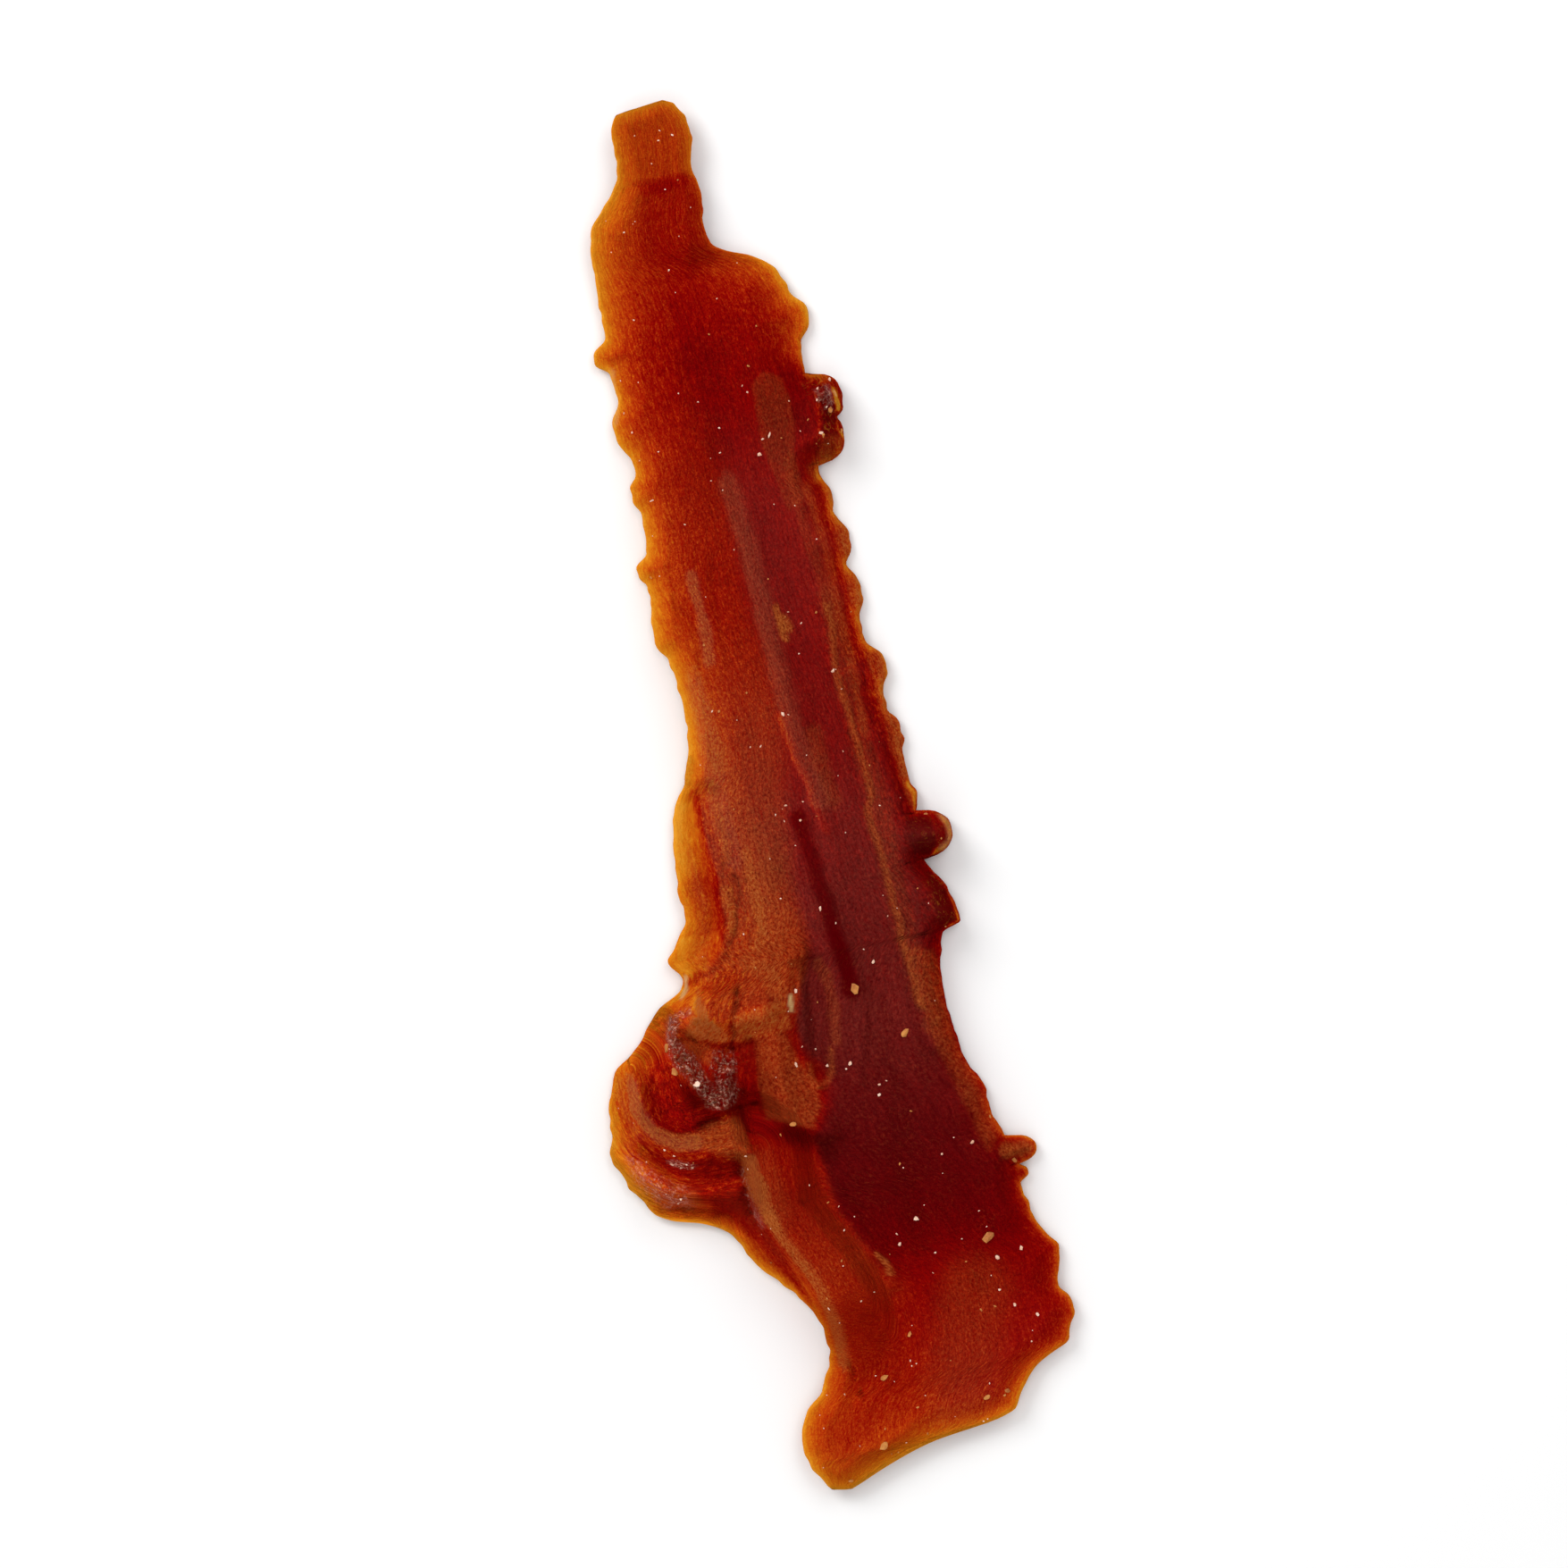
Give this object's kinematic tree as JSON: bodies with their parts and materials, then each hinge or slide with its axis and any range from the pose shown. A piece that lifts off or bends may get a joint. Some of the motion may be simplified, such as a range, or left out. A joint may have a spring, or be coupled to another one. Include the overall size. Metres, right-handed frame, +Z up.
{
  "type": "duck jerky strip",
  "caption": "Flat strip of air-dried duck breast, a dog chew, with a narrow tab at one end, a folded lobe on one side and thin scalloped edges.",
  "frame": {"origin": "under the middle of the strip's box, on the surface that it lies on", "axes": "+Y along the strip to the narrow tab, +Z up out of the folded side, +X to the scalloped flange"},
  "size_m": [0.0424, 0.14, 0.0075],
  "materials": {
    "dried_meat": "satin"
  },
  "bodies": {
    "root": {"jerky_strip": "dried_meat"}
  },
  "joints": []
}
